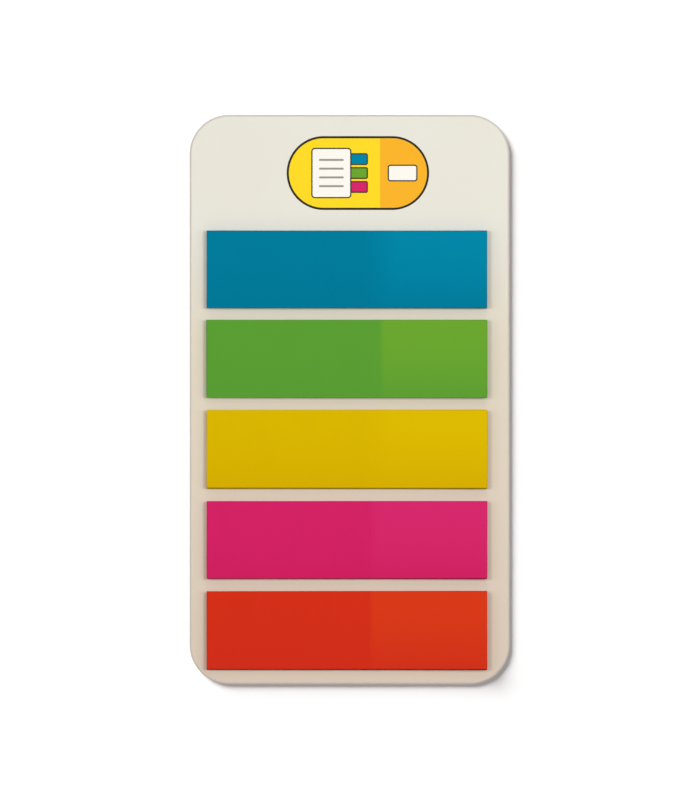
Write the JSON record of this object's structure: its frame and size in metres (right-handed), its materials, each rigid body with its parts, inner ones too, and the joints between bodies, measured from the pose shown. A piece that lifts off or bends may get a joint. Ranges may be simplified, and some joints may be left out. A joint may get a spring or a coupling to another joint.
{
  "type": "sticky index tabs",
  "caption": "Flat pocket card of milky plastic carrying a column of narrow pads of self-stick film index tabs, one colour to a pad.",
  "frame": {"origin": "centre of the card's back, which lies on the plane z = 0", "axes": "+X along the tabs towards their free ends, +Y up the card towards its head, +Z out of the card's front"},
  "size_m": [0.0494, 0.088, 0.0022],
  "materials": {
    "card_plastic": "milky off-white, satin",
    "blue_film": "dyed film, matte",
    "green_film": "dyed film, matte",
    "yellow_film": "dyed film, matte",
    "pink_film": "dyed film, matte",
    "orange_film": "dyed film, matte"
  },
  "bodies": {
    "root": {"backing_card": "card_plastic", "blue_tab_stack": "blue_film", "blue_top_tab": "blue_film", "green_tab_stack": "green_film", "green_top_tab": "green_film", "yellow_tab_stack": "yellow_film", "yellow_top_tab": "yellow_film", "pink_tab_stack": "pink_film", "pink_top_tab": "pink_film", "orange_tab_stack": "orange_film", "orange_top_tab": "orange_film"}
  },
  "joints": []
}
